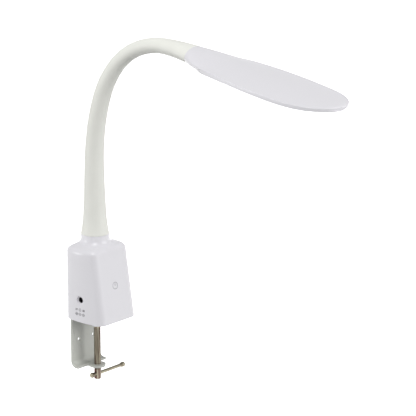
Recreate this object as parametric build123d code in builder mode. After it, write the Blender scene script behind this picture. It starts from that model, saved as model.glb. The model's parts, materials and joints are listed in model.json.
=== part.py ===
"""Clamp-on LED desk lamp on a flexible gooseneck.

Origin: on the axis of the clamp screw, at the lower face of the rubber jaw pad that rests on
the table top. +Z is up, the lamp head reaches out along -Y, the power socket is on the -X side.
All sizes are in millimetres.
"""

import os
from math import cos, radians, sin, sqrt, tan

from build123d import *

os.makedirs("parts", exist_ok=True)


def save(piece, name):
    """Give the piece its name and write it out as a part file."""
    piece.label = name
    export_step(piece, f"parts/{name}.step")


# ---------------------------------------------------------------- driving dimensions
# housing
case_half_width = 32.4
case_corner_half_width = 30.2
case_front_y = -35.5
case_back_y = 22.5
case_corner_radius = 9.0
case_lean = 8.8
case_wall = 2.5
case_rim_z = 0.5
collar_radius = 16.3
collar_top_z = 99.0
neck_y = 1.5

# base cover and jaw
jaw_pad_thickness = 1.5
sheet = 2.5
base_thickness = 3.0
base_z = jaw_pad_thickness + sheet

# clamp bracket
plate_inner_y = 17.2
plate_half_width = 23.6
flange_half_width = 19.0
foot_top_z = -58.0
foot_root_y = 8.5
foot_waist_half_width = 7.5
ear_radius = 9.4
fixing_hole_x = 12.0
fixing_hole_z = -28.7
fixing_hole_diameter = 4.2

# clamp screw (M8 x 1.25), swivel pad and tommy bar
screw_diameter = 8.0
screw_end_z = -76.0
screw_shoulder_z = -11.3
screw_pin_length = 5.0
pin_collar_z = -8.4
screw_pin_diameter = 6.0
pad_diameter = 22.0
pad_face_z = -2.4
pad_facing_thickness = 1.5
pad_disc_thickness = 3.0
pad_hub_radius = 6.5
pad_hub_z = -11.0
bar_z = -70.0
bar_diameter = 4.0
bar_left_x = -8.4
bar_right_x = 42.0
cap_diameter = 6.2
cap_length = 5.4
thread_fit = 0.05

# electrics in the housing
button_z = 42.2
button_diameter = 7.0
socket_y = -3.9
socket_z = 27.0
socket_hole_diameter = 9.6
plug_diameter = 5.6

# gooseneck: length of each link and how far it turns forward
link_length = [30.0, 45.0, 45.0, 45.0, 45.0, 42.0, 40.0, 39.0]
link_turn = [0.0, 0.0, 8.0, 12.0, 22.5, 27.0, 22.5, 7.0]
core_radius = 6.5
core_bore_radius = 4.3
lead_radius = 0.9
lead_offset = 1.3
link_gap = 0.3
ball_ratio = 1.15

# lamp head
head_length = 204.5
head_tilt = sum(link_turn)
head_wall = 1.8
head_rise = 3.5
head_rise_start = 140.0

# ---------------------------------------------------------------- housing


def case_front(z):
    """Y of the leaning front face at a height."""
    return case_front_y + z * tan(radians(case_lean))


def case_section(z, inset):
    """Plan section of the housing: flat front and back, gently bowed sides."""
    side, corner = case_half_width - inset, case_corner_half_width - inset
    front, back = case_front(z) + inset, case_back_y - inset
    middle = (front + back) / 2
    with BuildSketch(Plane.XY.offset(z)) as section:
        with BuildLine():
            Line((-corner, front), (corner, front))
            ThreePointArc((corner, front), (side, middle), (corner, back))
            Line((corner, back), (-corner, back))
            ThreePointArc((-corner, back), (-side, middle), (-corner, front))
        make_face()
        fillet(section.vertices(), case_corner_radius - inset)
    return section.sketch


def case_form(bottom_z, inset):
    """Lofted body of the housing before its roof is cut."""
    with BuildPart() as form:
        add(case_section(bottom_z, inset))
        add(case_section(100, inset))
        loft()
    return form.part


roof_start_radius, roof_start_z = 22.5, 87.9
roof_end_radius, roof_end_z = 36.5, 82.6
eave_radius = 60.0
eave_z = 68.0

with BuildPart() as roof:
    with BuildSketch(Plane(origin=(0, neck_y, 0), x_dir=(1, 0, 0), z_dir=(0, -1, 0))):
        with BuildLine():
            Line((0, case_rim_z), (0, collar_top_z))
            Line((0, collar_top_z), (collar_radius, collar_top_z))
            Line((collar_radius, collar_top_z), (collar_radius + 0.3, 94.0))
            ThreePointArc(
                (collar_radius + 0.3, 94.0), (18.3, 89.8), (roof_start_radius, roof_start_z)
            )
            ThreePointArc(
                (roof_start_radius, roof_start_z), (29.8, 86.2), (roof_end_radius, roof_end_z)
            )
            Line((roof_end_radius, roof_end_z), (eave_radius, eave_z))
            Line((eave_radius, eave_z), (eave_radius, case_rim_z))
            Line((eave_radius, case_rim_z), (0, case_rim_z))
        make_face()
    revolve(axis=Axis((0, neck_y, 0), (0, 0, 1)))

shelf_under_z = 87.2
with BuildPart() as roof_inside:
    with BuildSketch(Plane(origin=(0, neck_y, 0), x_dir=(1, 0, 0), z_dir=(0, -1, 0))):
        with BuildLine():
            Polyline(
                (0, -5),
                (0, shelf_under_z),
                (14.5, shelf_under_z),
                (roof_start_radius, roof_start_z - case_wall - 0.2),
                (29.8, 86.2 - case_wall),
                (roof_end_radius - 0.8, roof_end_z - case_wall - 0.2),
                (eave_radius, eave_z - case_wall),
                (eave_radius, -5),
                (0, -5),
            )
        make_face()
    revolve(axis=Axis((0, neck_y, 0), (0, 0, 1)))

front_normal = (0, -cos(radians(case_lean)), sin(radians(case_lean)))
front_plane = Plane(
    origin=(0, case_front(button_z), button_z), x_dir=(1, 0, 0), z_dir=front_normal
)
socket_plane = Plane(origin=(-40, socket_y, socket_z), x_dir=(0, -1, 0), z_dir=(-1, 0, 0))

base_screw_points = [(x, y) for x in (-23, 23) for y in (-27.5, 15.2)]
board_screw_points = [(x, y) for x in (-16, 16) for y in (-17, 17)]
board_front = -11.6
board_thickness = 1.6
base_screw_length = 9.0
boss_radius = 3.2

with BuildPart() as housing_shell:
    add(case_form(case_rim_z, 0))
    add(roof.part, mode=Mode.INTERSECT)
    ridge = housing_shell.edges().filter_by_position(Axis.Z, 74, 92).filter_by(
        lambda e: (e.center().X ** 2 + (e.center().Y - neck_y) ** 2) ** 0.5 > 18
        and e.bounding_box().size.Z < 8
    )
    fillet(ridge, 4.5)
    with BuildPart(mode=Mode.PRIVATE) as cavity:
        add(case_form(-5, case_wall))
        add(roof_inside.part, mode=Mode.INTERSECT)
    add(cavity.part, mode=Mode.SUBTRACT)
    # posts for the base cover screws, short and grown from the corners
    with BuildPart(mode=Mode.PRIVATE) as posts:
        for px, py in base_screw_points:
            with Locations((px, py, base_z + base_thickness)):
                Cylinder(boss_radius, 11, align=(Align.CENTER, Align.CENTER, Align.MIN))
        add(case_form(0, 0.8), mode=Mode.INTERSECT)
    add(posts.part)
    # pillars that carry the control board behind the front face
    with BuildSketch(front_plane.offset(-case_wall + 0.5)):
        with Locations(board_screw_points):
            Circle(2.8)
    extrude(amount=board_front + case_wall - 0.5)
    with BuildSketch(front_plane.offset(board_front)):
        with Locations(board_screw_points):
            Circle(1.25)
    extrude(amount=6, mode=Mode.SUBTRACT)
    for px, py in base_screw_points:
        with Locations((px, py, base_z + base_thickness)):
            Cylinder(
                1.5, base_screw_length - base_thickness + 0.5,
                align=(Align.CENTER, Align.CENTER, Align.MIN), mode=Mode.SUBTRACT,
            )
    # bore of the collar and the shelf that the neck is bolted to
    with Locations((0, neck_y, 93)):
        Cylinder(13.8, 7, align=(Align.CENTER, Align.CENTER, Align.MIN), mode=Mode.SUBTRACT)
    with Locations((0, neck_y, 80)):
        Cylinder(8.7, 20, align=(Align.CENTER, Align.CENTER, Align.MIN), mode=Mode.SUBTRACT)
    # hole of the power button and of the power socket
    with BuildSketch(front_plane.offset(2)):
        Circle(button_diameter / 2 + 0.1)
    extrude(amount=-(2 + case_wall + 0.5), mode=Mode.SUBTRACT)
    with BuildSketch(socket_plane):
        Circle(socket_hole_diameter / 2)
    extrude(amount=-15, mode=Mode.SUBTRACT)
save(housing_shell.part, "housing_shell")

with BuildPart() as base_cover:
    with BuildPart(mode=Mode.PRIVATE) as inside:
        add(case_form(-2, case_wall + 0.15))
    with Locations((0, 0, base_z)):
        Box(80, 80, base_thickness, align=(Align.CENTER, Align.CENTER, Align.MIN))
    add(inside.part, mode=Mode.INTERSECT)
    socket_board_points = [(-20.0, 5.0), (-6.0, -9.0)]
    socket_board_z = 19.9
    for px, py in socket_board_points:
        with Locations((px, py, base_z)):
            Cylinder(
                3.0, socket_board_z - base_z, align=(Align.CENTER, Align.CENTER, Align.MIN)
            )
        with Locations((px, py, socket_board_z)):
            Cylinder(1.25, 7, align=(Align.CENTER, Align.CENTER, Align.MAX), mode=Mode.SUBTRACT)
    for px, py in base_screw_points:
        with Locations((px, py, base_z - 1)):
            Cylinder(
                1.8, base_thickness + 2,
                align=(Align.CENTER, Align.CENTER, Align.MIN), mode=Mode.SUBTRACT,
            )
    bracket_screw_points = [(-12.0, -14.0), (12.0, -14.0), (-12.0, 8.0), (12.0, 8.0)]
    for px, py in bracket_screw_points:
        with Locations((px, py, base_z - 1)):
            Cylinder(
                2.2, base_thickness + 2,
                align=(Align.CENTER, Align.CENTER, Align.MIN), mode=Mode.SUBTRACT,
            )
save(base_cover.part, "base_cover")

with BuildPart() as base_cover_screws:
    for px, py in base_screw_points:
        with Locations((px, py, base_z)):
            Cylinder(1.5, base_screw_length, align=(Align.CENTER, Align.CENTER, Align.MIN))
            Cylinder(2.8, 1.8, align=(Align.CENTER, Align.CENTER, Align.MAX))
        with Locations((px, py, base_z - 1.8)):
            Cylinder(
                0.9, 1.0, align=(Align.CENTER, Align.CENTER, Align.MIN), mode=Mode.SUBTRACT
            )
save(base_cover_screws.part, "base_cover_screws")

# ---------------------------------------------------------------- clamp bracket

bend_inner = 2.5
foot_bend_inner = 5.0
bend_outer = bend_inner + sheet
foot_bend_outer = foot_bend_inner + sheet
plate_outer_y = plate_inner_y + sheet
foot_bottom_z = foot_top_z - sheet
flange_front_y = -26.0

with BuildPart() as clamp_bracket:
    # side profile of the bent strip: top flange, back plate, foot
    with BuildSketch(Plane.YZ):
        with BuildLine():
            top, bottom = base_z, foot_bottom_z
            Polyline(
                (flange_front_y, top - sheet),
                (flange_front_y, top),
                (plate_outer_y - bend_outer, top),
            )
            RadiusArc((plate_outer_y - bend_outer, top), (plate_outer_y, top - bend_outer), bend_outer)
            Line((plate_outer_y, top - bend_outer), (plate_outer_y, bottom + foot_bend_outer))
            RadiusArc(
                (plate_outer_y, bottom + foot_bend_outer),
                (plate_outer_y - foot_bend_outer, bottom),
                foot_bend_outer,
            )
            Polyline(
                (plate_outer_y - foot_bend_outer, bottom),
                (-ear_radius - 1, bottom),
                (-ear_radius - 1, bottom + sheet),
                (plate_inner_y - foot_bend_inner, bottom + sheet),
            )
            RadiusArc(
                (plate_inner_y - foot_bend_inner, bottom + sheet),
                (plate_inner_y, bottom + sheet + foot_bend_inner),
                -foot_bend_inner,
            )
            Line((plate_inner_y, bottom + sheet + foot_bend_inner), (plate_inner_y, top - bend_outer))
            RadiusArc(
                (plate_inner_y, top - bend_outer),
                (plate_inner_y - bend_inner, top - sheet),
                -bend_inner,
            )
            Line((plate_inner_y - bend_inner, top - sheet), (flange_front_y, top - sheet))
        make_face()
    extrude(amount=plate_half_width, both=True)
    # outline of the foot: wide root, waist and round ear
    with BuildPart(mode=Mode.PRIVATE) as foot_outline:
        with BuildSketch(Plane.XY.offset(foot_bottom_z - 1)) as outline:
            with Locations((0, (foot_root_y + 30) / 2)):
                Rectangle(2 * plate_half_width, 30 - foot_root_y)
            with Locations((0, 6)):
                Rectangle(2 * foot_waist_half_width, 14)
            Circle(ear_radius)
            inner_corners = outline.vertices().filter_by(
                lambda v: abs(v.Y - foot_root_y) < 0.01 and abs(v.X) < 10
            )
            outer_corners = outline.vertices().filter_by(
                lambda v: abs(v.Y - foot_root_y) < 0.01 and abs(v.X) > 10
            )
            fillet(inner_corners, 2.5)
            fillet(outer_corners, 5.0)
        extrude(amount=-foot_bottom_z - 4)
        with Locations((0, -30, -6)):
            Box(60, 130, 20, align=(Align.CENTER, Align.CENTER, Align.MIN))
    add(foot_outline.part, mode=Mode.INTERSECT)
    # the flange is narrower than the back plate, so the plate has a shoulder on each side
    for side in (-1, 1):
        with Locations((side * (flange_half_width + 10), -5, 0)):
            Box(20, 60, 20, align=(Align.CENTER, Align.CENTER, Align.MIN), mode=Mode.SUBTRACT)
    with Locations((0, 0, foot_bottom_z - 1)):
        Cylinder(
            screw_diameter / 2 + thread_fit, sheet + 2,
            align=(Align.CENTER, Align.CENTER, Align.MIN), mode=Mode.SUBTRACT,
        )
    with BuildSketch(Plane.XZ):
        with Locations((-fixing_hole_x, fixing_hole_z), (fixing_hole_x, fixing_hole_z)):
            Circle(fixing_hole_diameter / 2)
    extrude(amount=-40, mode=Mode.SUBTRACT)
    for px, py in bracket_screw_points:
        with Locations((px, py, base_z - sheet)):
            Cylinder(
                2.1, sheet, align=(Align.CENTER, Align.CENTER, Align.MIN), mode=Mode.SUBTRACT
            )
            Cone(
                4.1, 2.1, 2.0, align=(Align.CENTER, Align.CENTER, Align.MIN), mode=Mode.SUBTRACT
            )
save(clamp_bracket.part, "clamp_bracket")

nut_z = base_z + base_thickness
with BuildPart() as bracket_screws:
    for px, py in bracket_screw_points:
        with Locations((px, py, base_z - sheet)):
            Cone(4.0, 2.0, 2.0, align=(Align.CENTER, Align.CENTER, Align.MIN))
            Cylinder(2.0, 10.0, align=(Align.CENTER, Align.CENTER, Align.MIN))
            Cylinder(
                1.1, 1.2, align=(Align.CENTER, Align.CENTER, Align.MIN), mode=Mode.SUBTRACT
            )
save(bracket_screws.part, "bracket_screws")

with BuildPart() as bracket_nuts:
    with BuildSketch(Plane.XY.offset(nut_z)):
        with Locations(bracket_screw_points):
            RegularPolygon(3.5, 6, major_radius=False)
            Circle(2.0, mode=Mode.SUBTRACT)
    extrude(amount=3.2)
save(bracket_nuts.part, "bracket_nuts")

with BuildPart() as jaw_pad:
    with BuildSketch():
        with Locations((0, -6)):
            RectangleRounded(36, 38, 3)
    extrude(amount=jaw_pad_thickness)
save(jaw_pad.part, "jaw_pad")

# ---------------------------------------------------------------- clamp screw and pad

with BuildPart() as clamp_screw:
    with Locations((0, 0, screw_end_z)):
        Cylinder(
            screw_diameter / 2, screw_shoulder_z - screw_end_z,
            align=(Align.CENTER, Align.CENTER, Align.MIN),
        )
    chamfer(clamp_screw.faces().sort_by(Axis.Z)[0].edges(), 0.8)
    with Locations((0, 0, screw_shoulder_z)):
        Cylinder(
            screw_pin_diameter / 2, screw_pin_length,
            align=(Align.CENTER, Align.CENTER, Align.MIN),
        )
    with Locations((0, 0, pin_collar_z)):
        Cylinder(
            screw_pin_diameter / 2 + 0.6, 0.9, align=(Align.CENTER, Align.CENTER, Align.MIN)
        )
    with BuildSketch(Plane.YZ):
        with Locations((0, bar_z)):
            Circle(bar_diameter / 2 + thread_fit)
    extrude(amount=10, both=True, mode=Mode.SUBTRACT)
save(clamp_screw.part, "clamp_screw")

pad_disc_top_z = pad_face_z - pad_facing_thickness
with BuildPart() as pressure_pad:
    with Locations((0, 0, pad_disc_top_z)):
        Cylinder(
            pad_diameter / 2, pad_disc_thickness, align=(Align.CENTER, Align.CENTER, Align.MAX)
        )
    with Locations((0, 0, pad_hub_z)):
        Cylinder(
            pad_hub_radius, pad_disc_top_z - 1 - pad_hub_z,
            align=(Align.CENTER, Align.CENTER, Align.MIN),
        )
        Cylinder(
            screw_pin_diameter / 2 + thread_fit, screw_pin_length + 0.1,
            align=(Align.CENTER, Align.CENTER, Align.MIN), mode=Mode.SUBTRACT,
        )
    with Locations((0, 0, pin_collar_z - 0.15)):
        Cylinder(
            screw_pin_diameter / 2 + 0.75, 1.2,
            align=(Align.CENTER, Align.CENTER, Align.MIN), mode=Mode.SUBTRACT,
        )
save(pressure_pad.part, "pressure_pad")

with BuildPart() as pad_facing:
    with Locations((0, 0, pad_face_z)):
        Cylinder(
            pad_diameter / 2, pad_facing_thickness, align=(Align.CENTER, Align.CENTER, Align.MAX)
        )
    fillet(pad_facing.faces().sort_by(Axis.Z)[-1].edges(), 0.5)
save(pad_facing.part, "pad_facing")

bar_start, bar_end = bar_left_x - 1.2, bar_right_x + 1.2
with BuildPart() as tommy_bar:
    with BuildSketch(Plane.YZ.offset(bar_start)):
        with Locations((0, bar_z)):
            Circle(bar_diameter / 2)
    extrude(amount=bar_end - bar_start)
save(tommy_bar.part, "tommy_bar")

with BuildPart() as bar_end_caps:
    for centre in (bar_left_x, bar_right_x):
        with BuildSketch(Plane.YZ.offset(centre - cap_length / 2)):
            with Locations((0, bar_z)):
                Circle(cap_diameter / 2)
        extrude(amount=cap_length)
    fillet(bar_end_caps.edges().filter_by(GeomType.CIRCLE), 1.2)
    add(tommy_bar.part, mode=Mode.SUBTRACT)
save(bar_end_caps.part, "bar_end_caps")

# ---------------------------------------------------------------- electrics in the housing

flange_gap = 0.3
button_travel = 0.8
with BuildPart() as power_button:
    with BuildSketch(front_plane):
        Circle(button_diameter / 2)
    extrude(amount=-(case_wall + flange_gap))
    with BuildSketch(front_plane.offset(-(case_wall + flange_gap))):
        Circle(button_diameter / 2 + 1.2)
    extrude(amount=-1.0)
    with BuildSketch(front_plane.offset(-(case_wall + flange_gap + 1.0))):
        Circle(1.6)
    extrude(amount=-2.7)
save(power_button.part, "power_button")

switch_front = -8.0
with BuildPart() as switch_plunger:
    with BuildSketch(front_plane.offset(-6.5)):
        Circle(1.5)
    extrude(amount=-3.5)
save(switch_plunger.part, "switch_plunger")

with BuildPart() as tactile_switch:
    with BuildSketch(front_plane.offset(switch_front)):
        Rectangle(6, 6)
    extrude(amount=board_front - switch_front)
    with BuildSketch(front_plane.offset(switch_front)):
        Circle(1.58)
    extrude(amount=-3.2, mode=Mode.SUBTRACT)
save(tactile_switch.part, "tactile_switch")

board_back = board_front - board_thickness
with BuildPart() as control_board:
    with BuildSketch(front_plane.offset(board_front)):
        Rectangle(40, 42)
        with Locations(board_screw_points):
            Circle(1.5, mode=Mode.SUBTRACT)
    extrude(amount=-board_thickness)
save(control_board.part, "control_board")

with BuildPart() as board_components:
    with BuildSketch(front_plane.offset(board_back)):
        with Locations((-8, 8)):
            Rectangle(7.3, 6.8)
        with Locations((6, 10)):
            Rectangle(5, 4)
        with Locations((7, -6)):
            Circle(3.15)
    extrude(amount=-3.0)
    with BuildSketch(front_plane.offset(board_back)):
        with Locations((7, -6)):
            Circle(3.15)
    extrude(amount=-5.4)
save(board_components.part, "board_components")

with BuildPart() as board_screws:
    with BuildSketch(front_plane.offset(board_back)):
        with Locations(board_screw_points):
            Circle(2.4)
    extrude(amount=-1.5)
    with BuildSketch(front_plane.offset(board_back)):
        with Locations(board_screw_points):
            Circle(1.2)
    extrude(amount=board_thickness + 5)
save(board_screws.part, "board_screws")

socket_front_x = -28.2
socket_board_top = socket_board_z + 1.6
with BuildPart() as dc_socket:
    with Locations((socket_front_x, socket_y, socket_board_top)):
        Box(14, 9, 2 * (socket_z - socket_board_top), align=(Align.MIN, Align.CENTER, Align.MIN))
    with BuildSketch(Plane(origin=(socket_front_x, socket_y, socket_z), z_dir=(-1, 0, 0))):
        Circle(plug_diameter / 2 + 0.35)
    extrude(amount=-10, mode=Mode.SUBTRACT)
save(dc_socket.part, "dc_socket")

with BuildPart() as dc_socket_pin:
    with BuildSketch(Plane(origin=(socket_front_x + 1, socket_y, socket_z), z_dir=(-1, 0, 0))):
        Circle(1.0)
    extrude(amount=-9)
save(dc_socket_pin.part, "dc_socket_pin")

with BuildPart() as socket_board:
    with BuildSketch(Plane.XY.offset(socket_board_z)):
        with Locations((-14.4, -2)):
            Rectangle(27, 20)
        with Locations(socket_board_points):
            Circle(1.5, mode=Mode.SUBTRACT)
    extrude(amount=1.6)
save(socket_board.part, "socket_board")

with BuildPart() as socket_board_screws:
    for px, py in socket_board_points:
        with Locations((px, py, socket_board_top)):
            Cylinder(2.2, 1.5, align=(Align.CENTER, Align.CENTER, Align.MIN))
            Cylinder(1.2, 6.5, align=(Align.CENTER, Align.CENTER, Align.MAX))
save(socket_board_screws.part, "socket_board_screws")

with BuildPart() as supply_leads:
    for side in (-1, 1):
        lead_x = -4.0 + side * 1.5
        solder_point = front_plane.from_local_coords(Vector(lead_x, -12, board_back))
        foot = Vector(lead_x, -4.0, socket_board_top)
        with BuildLine() as route:
            FilletPolyline(foot, (lead_x, -4.0, solder_point.Z), solder_point, radius=4.0)
        with BuildSketch(Plane(origin=foot, z_dir=(0, 0, 1))):
            Circle(lead_radius)
        sweep(path=route.line)
    # trimmed where the leads meet the leaning board
    with BuildSketch(front_plane.offset(board_back)):
        Rectangle(60, 60)
    extrude(amount=6, mode=Mode.SUBTRACT)
save(supply_leads.part, "supply_leads")

# ---------------------------------------------------------------- gooseneck


def neck_state(distance):
    """Point and forward turn (degrees) of the neck axis at a distance from the collar."""
    y, z, turn = neck_y, collar_top_z, 0.0
    left = distance
    for length, bend in zip(link_length, link_turn):
        step = min(left, length)
        if left > length and length == link_length[-1] and bend == link_turn[-1]:
            step = left
        part_bend = bend * min(step / length, 1.0)
        mean = radians(turn + part_bend / 2)
        y -= step * sin(mean)
        z += step * cos(mean)
        turn += part_bend
        left -= step
        if left <= 1e-9:
            break
    return y, z, turn


def neck_plane(distance):
    """Plane across the neck axis, its normal along the axis."""
    if distance < 0:
        return Plane(origin=(0, neck_y, collar_top_z + distance), x_dir=(1, 0, 0))
    y, z, turn = neck_state(distance)
    axis = (0, -sin(radians(turn)), cos(radians(turn)))
    return Plane(origin=(0, y, z), x_dir=(1, 0, 0), z_dir=axis)


def blend_between(distance, stations):
    """Straight-line value between (distance, value) stations."""
    for (d0, v0), (d1, v1) in zip(stations, stations[1:]):
        if distance <= d1:
            return v0 + (v1 - v0) * (distance - d0) / (d1 - d0)
    return stations[-1][1]


neck_length = sum(link_length)
half_width_at = [
    (-20, 16.3), (0, 16.3), (8, 14.9), (20, 13.6), (40, 12.5), (80, 11.3), (120, 10.6),
    (170, 10.0), (220, 9.0), (255, 8.6), (275, 8.8), (292, 10.2), (310, 13.0),
    (neck_length, 17.0), (neck_length + 30, 17.0),
]
half_depth_at = [
    (-20, 16.3), (0, 16.3), (8, 14.9), (20, 13.6), (40, 12.5), (80, 11.3), (120, 10.6),
    (170, 10.0), (220, 9.0), (255, 8.6), (275, 8.6), (292, 8.9), (310, 9.5),
    (neck_length, 10.0), (neck_length + 30, 10.0),
]

pivots = []
reached = 0.0
for length in link_length[:-1]:
    reached += length
    pivots.append(reached)


def ball_radius(distance):
    """Radius of the rounded end of a link at a joint."""
    return ball_ratio * blend_between(distance, half_width_at)


def neck_form(start, end, half_width, half_depth):
    """Solid skin that follows the neck from one distance to another."""
    count = max(2, round((end - start) / 9))
    with BuildPart() as form:
        for i in range(count + 1):
            at = start + (end - start) * i / count
            with BuildSketch(neck_plane(at)):
                Ellipse(half_width(at), half_depth(at))
        loft()
    return form.part


def beyond(distance):
    """Everything past a joint except the ball that the lower link ends in."""
    plane = neck_plane(distance)
    with BuildPart() as region:
        with BuildSketch(plane):
            Circle(45)
        extrude(amount=60)
        with Locations(plane.location):
            Sphere(ball_radius(distance), mode=Mode.SUBTRACT)
    return region.part


def socket_ball(distance):
    """The hollow that the next link is cut with."""
    with BuildPart() as ball:
        with Locations(neck_plane(distance).location):
            Sphere(ball_radius(distance) + link_gap)
    return ball.part


def round_form(start, end, radius, side=0.0):
    """Round bar along the neck axis, moved sideways if asked."""
    count = max(2, round((end - start) / 9))
    with BuildPart() as form:
        for i in range(count + 1):
            at = start + (end - start) * i / count
            with BuildSketch(neck_plane(at)):
                with Locations((side, 0)):
                    Circle(radius)
        loft()
    return form.part


ferrule_bottom = -19.0
core_end = neck_length + 13.0
for number in range(len(link_length)):
    first, last = number == 0, number == len(link_length) - 1
    start = 0.0 if first else pivots[number - 1]
    end = neck_length if last else pivots[number] + ball_radius(pivots[number])
    sleeve_start = start
    core_start = ferrule_bottom if first else start
    core_stop = core_end if last else end
    lead_stop = neck_length + 30.0 if last else end

    with BuildPart() as sleeve:
        add(
            neck_form(
                sleeve_start, end,
                lambda d: blend_between(d, half_width_at),
                lambda d: blend_between(d, half_depth_at),
            )
        )
        if first:
            with Locations((0, neck_y, collar_top_z)):
                Cylinder(13.5, 4, align=(Align.CENTER, Align.CENTER, Align.MAX))
        else:
            add(socket_ball(start), mode=Mode.SUBTRACT)
        if not last:
            add(beyond(pivots[number]), mode=Mode.SUBTRACT)
        add(
            round_form(-6.0 if first else start, end + (1.0 if last else 0.0), core_radius),
            mode=Mode.SUBTRACT,
        )
    save(sleeve.part, f"neck_sleeve_{number + 1}")

    with BuildPart() as core:
        add(round_form(core_start, core_stop, core_radius))
        add(round_form(core_start, core_stop, core_bore_radius), mode=Mode.SUBTRACT)
        if not first:
            add(socket_ball(start), mode=Mode.SUBTRACT)
        if not last:
            add(beyond(pivots[number]), mode=Mode.SUBTRACT)
    save(core.part, f"neck_core_{number + 1}")

    with BuildPart() as leads:
        for side in (-lead_offset, lead_offset):
            add(round_form(-30.0 if first else start, lead_stop, lead_radius, side))
        if not first:
            add(socket_ball(start), mode=Mode.SUBTRACT)
        if not last:
            add(beyond(pivots[number]), mode=Mode.SUBTRACT)
    save(leads.part, f"neck_leads_{number + 1}")

with BuildPart() as neck_ferrule:
    with Locations((0, neck_y, collar_top_z + ferrule_bottom)):
        Cylinder(8.5, 14.8, align=(Align.CENTER, Align.CENTER, Align.MIN))
    with Locations((0, neck_y, 93)):
        Cylinder(11.5, 1.8, align=(Align.CENTER, Align.CENTER, Align.MIN))
    with Locations((0, neck_y, 70)):
        Cylinder(
            core_radius, 40, align=(Align.CENTER, Align.CENTER, Align.MIN), mode=Mode.SUBTRACT
        )
save(neck_ferrule.part, "neck_ferrule")

with BuildPart() as neck_washer:
    with Locations((0, neck_y, shelf_under_z)):
        Cylinder(12.5, 1.2, align=(Align.CENTER, Align.CENTER, Align.MAX))
        Cylinder(
            8.7, 4, align=(Align.CENTER, Align.CENTER, Align.CENTER), mode=Mode.SUBTRACT
        )
save(neck_washer.part, "neck_washer")

with BuildPart() as neck_nut:
    with BuildSketch(Plane(origin=(0, neck_y, shelf_under_z - 1.2))):
        RegularPolygon(12, 6, major_radius=False)
        Circle(8.5, mode=Mode.SUBTRACT)
    extrude(amount=-4.5)
save(neck_nut.part, "neck_nut")

# ---------------------------------------------------------------- lamp head
# The head is drawn flat, reaching along -Y from its seam with the neck, then placed.

head_y, head_z, _ = neck_state(neck_length)
head_location = Plane(
    origin=(0, head_y, head_z),
    x_dir=(1, 0, 0),
    z_dir=(0, cos(radians(head_tilt)), sin(radians(head_tilt))),
).location

head_half_width = [
    (0, 17.0), (12, 24.0), (28, 31.5), (55, 38.0), (90, 43.0), (120, 44.2), (148, 42.9),
    (168, 39.4), (182, 33.6), (193, 25.0), (200, 15.5), (203.5, 6.5),
]
head_half_depth = [
    (0, 10.0), (12, 9.6), (28, 8.4), (55, 6.9), (90, 5.9), (120, 5.6), (148, 5.3),
    (168, 5.0), (182, 4.6), (193, 4.0), (200, 3.2), (203.5, 2.2),
]


def head_height(distance):
    """Rise of the middle of the head towards its tip."""
    run = max(0.0, distance - head_rise_start) / (head_length - head_rise_start)
    return head_rise * run * run


def head_form(inset):
    """Lofted outer or inner form of the head."""
    with BuildPart() as form:
        for (distance, half_width), (_, half_depth) in zip(head_half_width, head_half_depth):
            at = min(distance, head_half_width[-1][0] - inset)
            plane = Plane(
                origin=(0, -at, head_height(at)), x_dir=(1, 0, 0), z_dir=(0, -1, 0)
            )
            with BuildSketch(plane):
                Ellipse(half_width - inset, max(half_depth - inset, 0.9))
        loft()
    return form.part


def head_layer(low, high):
    """Slab that follows the flat underside of the head between two depths."""
    stations = [(-2, -10.2), (0, -10.2), (12, -9.8), (28, -7.8), (55, -4.7), (90, -3.4), (140, -3.4)]
    stations += [(d, -3.4 + head_height(d)) for d in (160, 184, 208)]
    with BuildPart() as layer:
        with BuildSketch(Plane.YZ):
            with BuildLine():
                lower = [(-d, z + low) for d, z in stations]
                upper = [(-d, z + high) for d, z in stations]
                Spline(*lower)
                Line(lower[-1], upper[-1])
                Spline(*reversed(upper))
                Line(upper[0], lower[0])
            make_face()
        extrude(amount=60, both=True)
    return layer.part


def window_form(inset):
    """Outline of the light window, straight up and down."""
    with BuildPart() as form:
        with BuildSketch(Plane.XY.offset(-20)):
            with BuildLine():
                side = [(38, 24.0), (60, 30.0), (90, 34.5), (120, 35.8), (145, 34.5), (164, 30.5)]
                points = [(w - inset, -d) for d, w in side]
                far = -186 + inset
                right = Spline(*points)
                tip = Spline(
                    points[-1], (18 - inset, -180 + inset), (0, far), (-18 + inset, -180 + inset),
                    (-points[-1][0], points[-1][1]),
                )
                left = Spline(*[(-x, y) for x, y in reversed(points)])
                Line((-points[0][0], points[0][1]), points[0])
            make_face()
        extrude(amount=40)
    return form.part


split_depth = 2.6
with BuildPart() as head_shell:
    add(head_form(0))
    add(head_layer(0, 40), mode=Mode.INTERSECT)
    with BuildPart(mode=Mode.PRIVATE) as hollow:
        add(head_form(head_wall))
        add(head_layer(head_wall, 40), mode=Mode.INTERSECT)
    add(hollow.part, mode=Mode.SUBTRACT)
    with BuildPart(mode=Mode.PRIVATE) as throat:
        with BuildSketch(Plane(origin=(0, 2, 0), x_dir=(1, 0, 0), z_dir=(0, -1, 0))):
            Circle(core_radius + 0.3)
        extrude(amount=12)
    add(throat.part, mode=Mode.SUBTRACT)

head_board_points = [(x, -d) for d, x in ((62, 22.0), (150, 24.0)) for x in (-x, x)]
board_underside = 0.9
head_board_thickness = 1.0

with BuildPart() as head_top_cover:
    add(head_shell.part)
    add(head_layer(-5, split_depth), mode=Mode.SUBTRACT)
    with BuildPart(mode=Mode.PRIVATE) as head_posts:
        for px, py in head_board_points:
            with Locations((px, py, board_underside + head_board_thickness)):
                Cylinder(2.6, 8, align=(Align.CENTER, Align.CENTER, Align.MIN))
        add(head_form(0.6), mode=Mode.INTERSECT)
    add(head_posts.part)
    for px, py in head_board_points:
        with Locations((px, py, board_underside)):
            Cylinder(
                1.0, 3.0, align=(Align.CENTER, Align.CENTER, Align.MIN), mode=Mode.SUBTRACT
            )
head_top = head_location * head_top_cover.part
save(head_top, "head_top_cover")

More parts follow.
